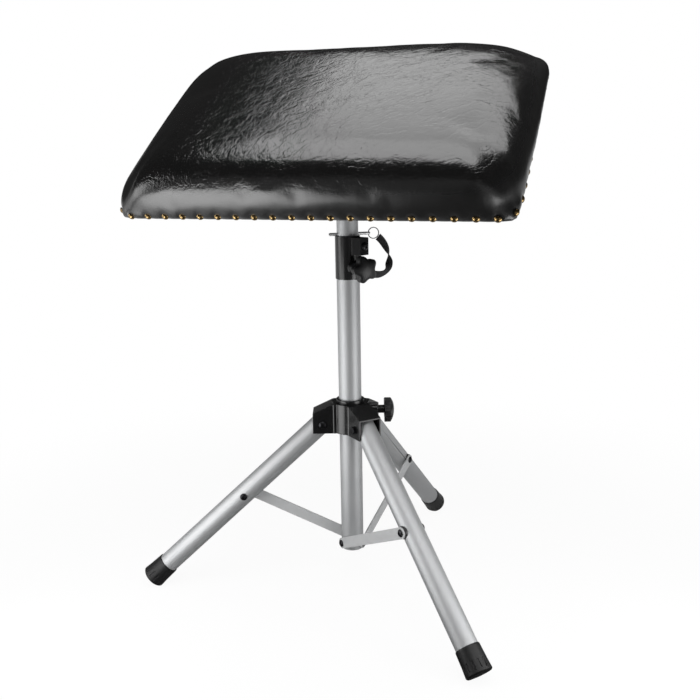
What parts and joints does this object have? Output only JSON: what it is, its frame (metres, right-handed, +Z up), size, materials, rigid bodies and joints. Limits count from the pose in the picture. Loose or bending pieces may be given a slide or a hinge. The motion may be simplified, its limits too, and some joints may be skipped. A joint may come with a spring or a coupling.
{
  "type": "tattoo arm rest stand",
  "caption": "Padded arm rest on a tilting, swivelling head, on a pinned telescopic column with folding braced tripod legs.",
  "frame": {"origin": "on the floor under the column's axis", "axes": "+Z up along the column, +X to the right and +Y away from the picture's viewer"},
  "size_m": [0.5428, 0.507, 0.716],
  "materials": {
    "aluminium": "satin",
    "black_metal": "satin",
    "black_screws": "satin",
    "black_plastic": "matte",
    "white_plastic": "matte",
    "grey_plastic": "matte",
    "rubber": "matte",
    "brace_grey": "satin",
    "steel": "satin",
    "chrome": "polished",
    "insert_brass": "satin",
    "nail_brass": "satin",
    "webbing": "matte",
    "plywood": "matte",
    "foam": "matte",
    "leather": "gloss",
    "dust_cloth": "matte"
  },
  "bodies": {
    "column": {"column_tube": "aluminium", "column_plug": "grey_plastic", "brace_bolts": "black_screws", "collar": "black_metal", "collar_insert": "insert_brass", "lug_screw": "black_screws"},
    "collar_knob": {"collar_knob": "black_plastic", "collar_clamp_screw": "steel"},
    "lock_pin": {"height_pin": "chrome", "split_ring": "chrome", "pin_strap": "webbing"},
    "hub": {"hub_spider": "black_metal", "hub_bushing": "white_plastic", "hub_insert": "insert_brass", "hub_bolts": "black_screws", "hub_nuts": "black_screws"},
    "hub_knob": {"hub_knob": "black_plastic", "hub_clamp_screw": "steel"},
    "leg_a": {"leg_a_tube": "aluminium", "leg_a_plug": "black_plastic", "leg_a_foot": "rubber", "leg_a_saddle": "black_plastic", "leg_a_bolt": "black_screws"},
    "leg_b": {"leg_b_tube": "aluminium", "leg_b_plug": "black_plastic", "leg_b_foot": "rubber", "leg_b_saddle": "black_plastic", "leg_b_bolt": "black_screws"},
    "leg_c": {"leg_c_tube": "aluminium", "leg_c_plug": "black_plastic", "leg_c_foot": "rubber", "leg_c_saddle": "black_plastic", "leg_c_bolt": "black_screws"},
    "brace_a": {"brace_a_bar": "brace_grey", "brace_a_screw": "black_screws"},
    "brace_b": {"brace_b_bar": "brace_grey", "brace_b_screw": "black_screws"},
    "brace_c": {"brace_c_bar": "brace_grey", "brace_c_screw": "black_screws"},
    "post": {"post_tube": "aluminium", "post_plug": "grey_plastic"},
    "head": {"head_socket": "black_metal", "head_insert": "insert_brass"},
    "head_knob": {"head_knob": "black_plastic", "head_clamp_screw": "steel"},
    "pad": {"tilt_bracket": "black_metal", "tilt_bolt": "steel", "tilt_washer": "steel", "bracket_screws": "steel", "pad_board": "plywood", "pad_foam": "foam", "pad_cover": "leather", "pad_nails": "nail_brass", "pad_dust_cloth": "dust_cloth"},
    "tilt_knob": {"tilt_knob": "black_plastic"}
  },
  "joints": [
    {"name": "collar_knob_turn", "type": "hinge", "parent": "column", "child": "collar_knob", "pos_m": [0, 0, 0.44095], "axis": [0.5, -0.866, 0], "continuous": true},
    {"name": "pin_pull", "type": "slide", "parent": "column", "child": "lock_pin", "axis": [0.9659, 0.2588, 0], "range_m": [0, 0.045], "deforming": ["pin_strap"]},
    {"name": "hub_slide", "type": "slide", "parent": "column", "child": "hub", "axis": [0, 0, 1], "range_m": [0, 0.13075]},
    {"name": "hub_knob_turn", "type": "hinge", "parent": "hub", "child": "hub_knob", "pos_m": [0, 0, 0.24919], "axis": [1, 0, 0], "continuous": true},
    {"name": "leg_a_fold", "type": "hinge", "parent": "hub", "child": "leg_a", "pos_m": [-0.037, 0, 0.23295], "axis": [0, -1, 0], "range_deg": [0, 43.41]},
    {"name": "leg_b_fold", "type": "hinge", "parent": "hub", "child": "leg_b", "pos_m": [0.0185, -0.03204, 0.23295], "axis": [0.866, 0.5, 0], "range_deg": [0, 43.41]},
    {"name": "leg_c_fold", "type": "hinge", "parent": "hub", "child": "leg_c", "pos_m": [0.0185, 0.03204, 0.23295], "axis": [-0.866, 0.5, 0], "range_deg": [0, 43.41]},
    {"name": "brace_a_fold", "type": "hinge", "parent": "column", "child": "brace_a", "pos_m": [0, 0, 0.06], "axis": [0, 1, 0], "range_deg": [0, 46.64]},
    {"name": "brace_b_fold", "type": "hinge", "parent": "column", "child": "brace_b", "pos_m": [0, 0, 0.06], "axis": [-0.866, -0.5, 0], "range_deg": [0, 46.64]},
    {"name": "brace_c_fold", "type": "hinge", "parent": "column", "child": "brace_c", "pos_m": [0, 0, 0.06], "axis": [0.866, -0.5, 0], "range_deg": [0, 46.64]},
    {"name": "post_slide", "type": "slide", "parent": "column", "child": "post", "axis": [0, 0, 1], "range_m": [0, 0.3]},
    {"name": "head_turn", "type": "hinge", "parent": "post", "child": "head", "pos_m": [0, 0, 0.535], "axis": [0, 0, 1], "continuous": true},
    {"name": "head_knob_turn", "type": "hinge", "parent": "head", "child": "head_knob", "pos_m": [0, 0, 0.5175], "axis": [0.3305, 0.9438, 0], "continuous": true},
    {"name": "pad_tilt", "type": "hinge", "parent": "head", "child": "pad", "pos_m": [0, 0, 0.563], "axis": [0.9438, -0.3305, 0], "range_deg": [-36, 9]},
    {"name": "tilt_knob_turn", "type": "hinge", "parent": "pad", "child": "tilt_knob", "pos_m": [0, 0, 0.563], "axis": [0.9438, -0.3305, 0], "continuous": true}
  ],
  "couplings": [
    {"joint": "leg_a_fold", "follows": "hub_slide", "rad_per_m": 5.7933},
    {"joint": "leg_b_fold", "follows": "hub_slide", "rad_per_m": 5.7933},
    {"joint": "leg_c_fold", "follows": "hub_slide", "rad_per_m": 5.7933},
    {"joint": "brace_a_fold", "follows": "hub_slide", "rad_per_m": 6.2241},
    {"joint": "brace_b_fold", "follows": "hub_slide", "rad_per_m": 6.2241},
    {"joint": "brace_c_fold", "follows": "hub_slide", "rad_per_m": 6.2241}
  ]
}
